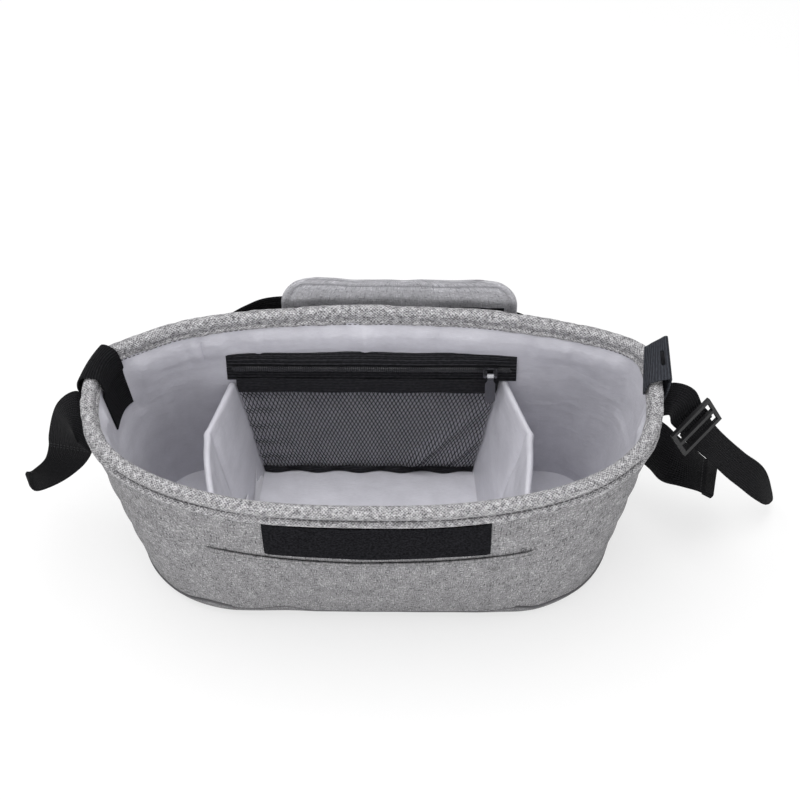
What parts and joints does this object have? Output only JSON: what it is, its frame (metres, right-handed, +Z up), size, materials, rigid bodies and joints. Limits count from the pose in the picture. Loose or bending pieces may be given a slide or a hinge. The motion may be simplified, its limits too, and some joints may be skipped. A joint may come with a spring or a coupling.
{
  "type": "stroller bag",
  "caption": "Padded open-topped stroller organiser with cup holders at both ends, a zipped mesh pocket, a lid flap folded back and webbing straps.",
  "frame": {"origin": "middle of the flat underside of the base", "axes": "+Z up; +Y towards the stroller, where the flap hangs; -Y the front with its closing strip and pocket; +X to the right seen from the front"},
  "size_m": [0.494, 0.1877, 0.1516],
  "materials": {
    "heather_fabric": "heather grey woven polyester",
    "binding_fabric": "grey twill binding",
    "foam": "soft white foam padding, hidden between the fabrics",
    "board": "stiff base board, hidden under the lining",
    "lining": "smooth light grey nylon lining",
    "loop_tape": "black loop tape",
    "black_trim": "black polyester trim, zip and mesh",
    "black_webbing": "black ribbed webbing",
    "slate_webbing": "dark slate ribbed webbing",
    "black_plastic": "moulded black plastic",
    "dark_nickel": "dark nickel-plated zinc"
  },
  "bodies": {
    "bag": {"base_panel": "heather_fabric", "front_panel": "heather_fabric", "front_pocket": "heather_fabric", "back_panel": "heather_fabric", "lid_flap": "heather_fabric", "base_piping": "binding_fabric", "rim_binding": "binding_fabric", "wall_foam": "foam", "base_board": "board", "wall_lining": "lining", "floor_lining": "lining", "left_divider": "lining", "right_divider": "lining", "front_closure_strip": "loop_tape", "flap_closure_strip": "loop_tape", "mesh_pocket": "black_trim", "mesh_top_band": "black_trim", "mesh_hem": "black_trim", "zip_tape_upper": "black_trim", "zip_tape_lower": "black_trim", "zip_coil": "black_trim", "left_strap_anchor": "black_webbing", "right_strap_anchor": "slate_webbing", "left_strap": "black_webbing", "right_strap": "black_webbing", "right_lower_strap": "black_webbing", "back_strap": "black_webbing", "right_adjuster": "black_plastic"},
    "slider": {"zip_slider": "dark_nickel"},
    "pull": {"zip_pull": "dark_nickel"}
  },
  "joints": [
    {"name": "zip_slide", "type": "slide", "parent": "bag", "child": "slider", "axis": [-1, 0, 0], "range_m": [0, 0.14]},
    {"name": "pull_hinge", "type": "hinge", "parent": "slider", "child": "pull", "pos_m": [0.074, 0.04944, 0.09746], "axis": [-1, 0, 0], "range_deg": [0, 150]}
  ]
}
